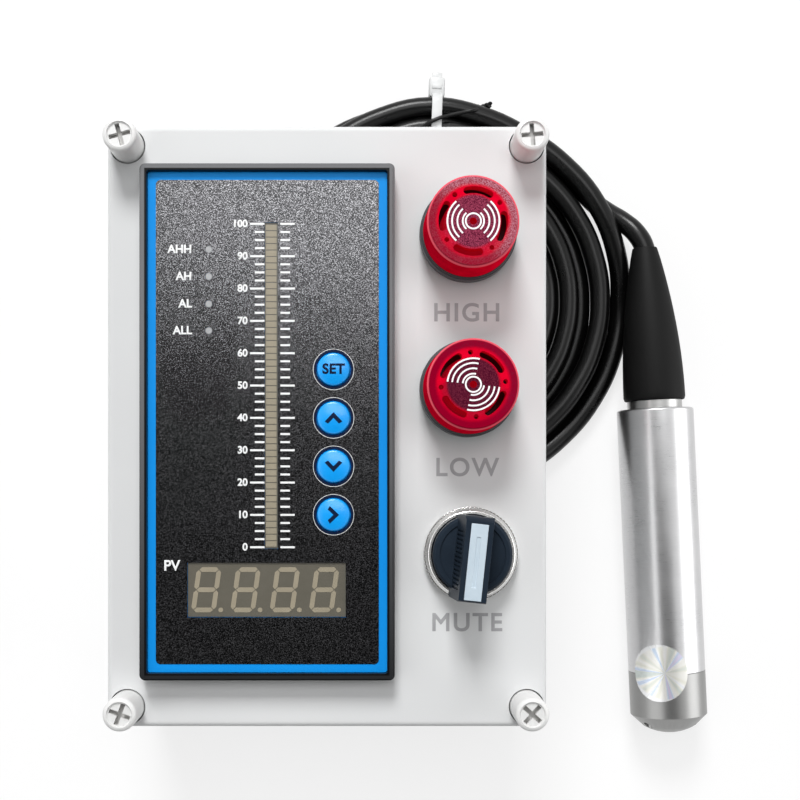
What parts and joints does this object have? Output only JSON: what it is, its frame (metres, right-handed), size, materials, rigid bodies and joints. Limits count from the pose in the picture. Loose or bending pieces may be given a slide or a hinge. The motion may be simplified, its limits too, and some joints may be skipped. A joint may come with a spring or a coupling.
{
  "type": "submersible level transmitter",
  "caption": "Wall-box level controller with meter, alarms and selector, lying on its coiled vented cable beside a stainless submersible pressure probe.",
  "frame": {"origin": "on the table under the middle of the rectangle that the box and the probe fill", "axes": "+X to the right of the front panel, +Y up the front panel, +Z out of it, away from the wall"},
  "size_m": [0.2098, 0.2483, 0.1091],
  "materials": {
    "box_plastic": "fine satin ABS, light grey",
    "screw_plastic": "white nylon",
    "rubber": "matt black rubber",
    "strip_plastic": "ivory polyamide",
    "bezel_plastic": "black satin ABS",
    "plate_blue": "blue satin front plate",
    "film_black": "black grained film",
    "case_plastic": "black ABS",
    "display_grey": "tinted display face",
    "segment_beige": "unlit diffusers",
    "led_clear": "unlit lamp resin",
    "board_green": "solder-masked laminate",
    "switch_black": "black switch bodies",
    "relay_blue": "blue relay covers",
    "winding": "varnished winding and core",
    "terminal_green": "green terminal blocks",
    "steel": "zinc-plated steel",
    "key_blue": "embossed blue key",
    "lens_red": "clear red polycarbonate",
    "sign_white": "white sign on the lens",
    "alarm_grey": "dark grey body",
    "sounder_black": "black sounder drum",
    "chrome": "bright plated brass",
    "knob_black": "black moulded knob",
    "insert_white": "white pointer insert",
    "stainless": "turned stainless steel",
    "cable_jacket": "glossy black jacket",
    "core_colours": "coloured conductors and a white vent tube",
    "nylon": "natural nylon",
    "tie_black": "black twist tie",
    "print_white": "white screen print",
    "print_navy": "navy screen print",
    "caption_grey": "grey screen print",
    "foil": "plain silver foil disc"
  },
  "bodies": {
    "housing": {"enclosure_base": "box_plastic", "enclosure_cover": "box_plastic", "cover_gasket": "rubber", "cover_screws": "screw_plastic", "cable_grommets": "rubber", "wiring_strip": "strip_plastic", "terminal_screws": "steel", "meter_bezel": "bezel_plastic", "meter_front_plate": "plate_blue", "meter_film": "film_black", "meter_case": "case_plastic", "bar_display": "display_grey", "bar_segments": "segment_beige", "digit_display": "display_grey", "digit_segments": "segment_beige", "alarm_leds": "led_clear", "display_board": "board_green", "key_switches": "switch_black", "relay_board": "board_green", "relays": "relay_blue", "transformer": "winding", "meter_terminals": "terminal_green", "meter_clamps": "steel", "clamp_screws": "steel", "selector_body": "alarm_grey", "selector_ring": "chrome", "selector_nut": "chrome", "selector_contacts": "terminal_green", "probe_tube": "stainless", "probe_nose": "stainless", "probe_head": "stainless", "probe_boot": "rubber", "probe_sensor": "stainless", "probe_seals": "rubber", "probe_board": "board_green", "cable_lead": "cable_jacket", "cable_coil": "cable_jacket", "cable_tail": "cable_jacket", "cable_cores": "core_colours", "cable_tie": "nylon", "twist_tie": "tie_black", "high_alarm_lens": "lens_red", "high_alarm_marks": "sign_white", "high_alarm_base": "alarm_grey", "high_alarm_seal": "rubber", "high_alarm_nut": "case_plastic", "high_alarm_sounder": "sounder_black", "low_alarm_lens": "lens_red", "low_alarm_marks": "sign_white", "low_alarm_base": "alarm_grey", "low_alarm_seal": "rubber", "low_alarm_nut": "case_plastic", "low_alarm_sounder": "sounder_black"},
    "set_key": {"key_set": "key_blue"},
    "up_key": {"key_up": "key_blue"},
    "down_key": {"key_down": "key_blue"},
    "shift_key": {"key_shift": "key_blue"},
    "selector": {"selector_shaft": "case_plastic", "selector_knob": "knob_black", "selector_insert": "insert_white"}
  },
  "joints": [
    {"name": "press_set", "type": "slide", "parent": "housing", "child": "set_key", "axis": [0, 0, -1], "range_m": [0, 0.0005], "stiffness_N_per_m": 400},
    {"name": "press_up", "type": "slide", "parent": "housing", "child": "up_key", "axis": [0, 0, -1], "range_m": [0, 0.0005], "stiffness_N_per_m": 400},
    {"name": "press_down", "type": "slide", "parent": "housing", "child": "down_key", "axis": [0, 0, -1], "range_m": [0, 0.0005], "stiffness_N_per_m": 400},
    {"name": "press_shift", "type": "slide", "parent": "housing", "child": "shift_key", "axis": [0, 0, -1], "range_m": [0, 0.0005], "stiffness_N_per_m": 400},
    {"name": "turn_selector", "type": "hinge", "parent": "housing", "child": "selector", "pos_m": [0.0107, -0.03288, 0.09], "axis": [0, 0, 1], "range_deg": [-39, 51]}
  ]
}
